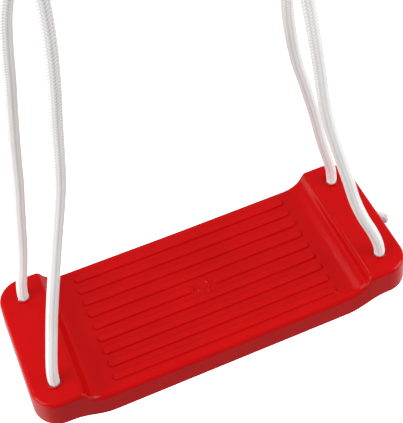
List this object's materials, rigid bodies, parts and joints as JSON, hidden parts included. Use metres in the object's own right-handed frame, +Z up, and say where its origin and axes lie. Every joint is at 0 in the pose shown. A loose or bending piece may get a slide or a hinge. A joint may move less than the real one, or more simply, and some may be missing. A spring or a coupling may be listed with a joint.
{
  "type": "swing",
  "caption": "Moulded board swing seat with a ribbed deck and raised end pads, hung by its corner holes on two knotted braided ropes with thimbles and steel rings.",
  "frame": {"origin": "midway between the two hanging rings, at the height where the hooks bear on the inside of their tops", "axes": "+X along the seat to its right end, +Y to the back, +Z up along the ropes"},
  "size_m": [0.4431, 0.165, 0.6521],
  "materials": {
    "red_plastic": "glossy moulded polyethylene, satin underneath",
    "braided_rope": "white braided polypropylene rope",
    "twine": "off-white waxed whipping twine",
    "zinc_steel": "bright zinc plated steel"
  },
  "bodies": {
    "rings": {"ring_left": "zinc_steel", "ring_right": "zinc_steel"},
    "hung_seat": {"seat": "red_plastic", "rope_left": "braided_rope", "thimble_left": "zinc_steel", "seizing_left": "twine", "knot_left_front": "braided_rope", "knot_left_back": "braided_rope", "rope_right": "braided_rope", "thimble_right": "zinc_steel", "seizing_right": "twine", "knot_right_front": "braided_rope", "knot_right_back": "braided_rope"}
  },
  "joints": [
    {"name": "swing", "type": "hinge", "parent": "rings", "child": "hung_seat", "pos_m": [0, 0, -0.044], "axis": [1, 0, 0], "range_deg": [-60, 60]}
  ]
}
